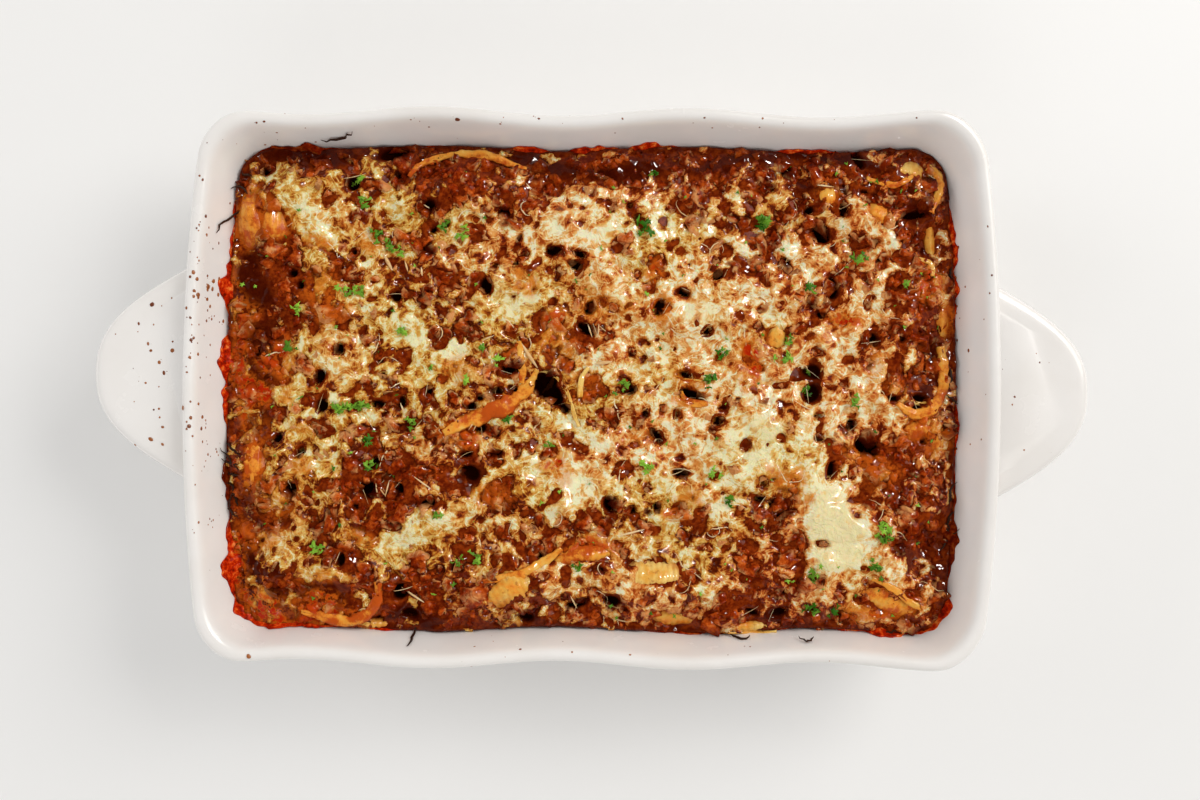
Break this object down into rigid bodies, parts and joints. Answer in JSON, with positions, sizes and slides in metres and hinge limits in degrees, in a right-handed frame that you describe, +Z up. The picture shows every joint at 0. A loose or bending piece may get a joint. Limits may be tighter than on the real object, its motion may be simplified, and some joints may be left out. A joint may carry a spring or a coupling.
{
  "type": "dish of baked pasta shells",
  "caption": "Rectangular glazed stoneware baking dish with a wavy rim and tab handles, filled with stuffed pasta shells baked in meat sauce under melted cheese.",
  "frame": {"origin": "centre of the dish's flat foot, on the surface that it stands on", "axes": "+X along the length from the left handle to the right handle, +Y towards the far long side, +Z up"},
  "size_m": [0.444, 0.2474, 0.0673],
  "materials": {
    "glaze": "gloss",
    "pasta": "satin",
    "meat_sauce": "satin",
    "cheese": "satin",
    "parsley": "satin"
  },
  "bodies": {
    "root": {"baking_dish": "glaze", "meat_sauce": "meat_sauce", "pasta_shell_01": "pasta", "pasta_shell_02": "pasta", "pasta_shell_03": "pasta", "pasta_shell_04": "pasta", "pasta_shell_05": "pasta", "pasta_shell_06": "pasta", "pasta_shell_07": "pasta", "pasta_shell_08": "pasta", "pasta_shell_09": "pasta", "pasta_shell_10": "pasta", "pasta_shell_11": "pasta", "pasta_shell_12": "pasta", "pasta_shell_13": "pasta", "pasta_shell_14": "pasta", "pasta_shell_15": "pasta", "pasta_shell_16": "pasta", "pasta_shell_17": "pasta", "pasta_shell_18": "pasta", "pasta_shell_19": "pasta", "cheese_pool_1": "cheese", "cheese_pool_2": "cheese", "cheese_pool_3": "cheese", "cheese_pool_4": "cheese"}
  },
  "joints": []
}
